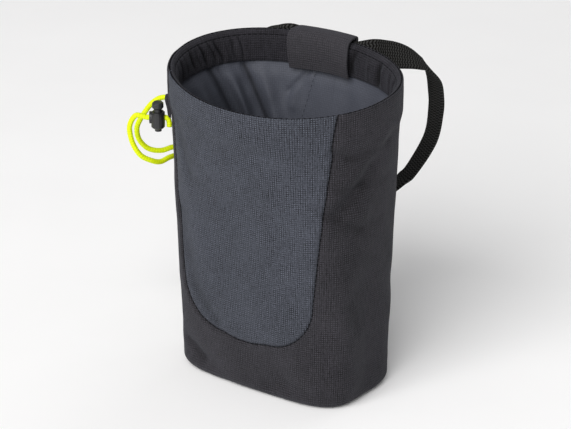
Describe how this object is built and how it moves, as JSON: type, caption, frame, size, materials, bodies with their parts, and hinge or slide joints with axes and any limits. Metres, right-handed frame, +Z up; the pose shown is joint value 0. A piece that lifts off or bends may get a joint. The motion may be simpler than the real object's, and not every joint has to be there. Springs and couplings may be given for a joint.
{
  "type": "climbing chalk bag with waist belt",
  "caption": "Fabric chalk bucket with a stiffened rim, folded lining, slate front panel, yellow draw cord with cord lock, and a webbing waist belt through a tunnel.",
  "frame": {"origin": "centre of the flat base, on the surface that the bag stands on", "axes": "+Z up through the mouth, -Y towards the front panel, +X to the right seen from the front"},
  "size_m": [0.1813, 0.1448, 0.1782],
  "materials": {
    "charcoal_fabric": "matte ripstop weave",
    "slate_fabric": "matte slubbed weave",
    "lining_fabric": "soft satin weave",
    "webbing": "ribbed webbing",
    "black_plastic": "moulded",
    "yellow_cord": "braided sheath"
  },
  "bodies": {
    "bag": {"body_shell": "charcoal_fabric", "base_panel": "charcoal_fabric", "front_panel": "slate_fabric", "lining": "lining_fabric", "rim_band": "charcoal_fabric", "belt_tunnel": "charcoal_fabric", "waist_belt": "webbing", "belt_buckle": "black_plastic", "draw_cord": "yellow_cord", "lock_barrel": "black_plastic", "cord_tab": "charcoal_fabric"},
    "button": {"lock_button": "black_plastic"}
  },
  "joints": [
    {"name": "button_press", "type": "slide", "parent": "bag", "child": "button", "axis": [0, 0, -1], "range_m": [0, 0.0012], "stiffness_N_per_m": 300, "springref_m": -0.006}
  ]
}
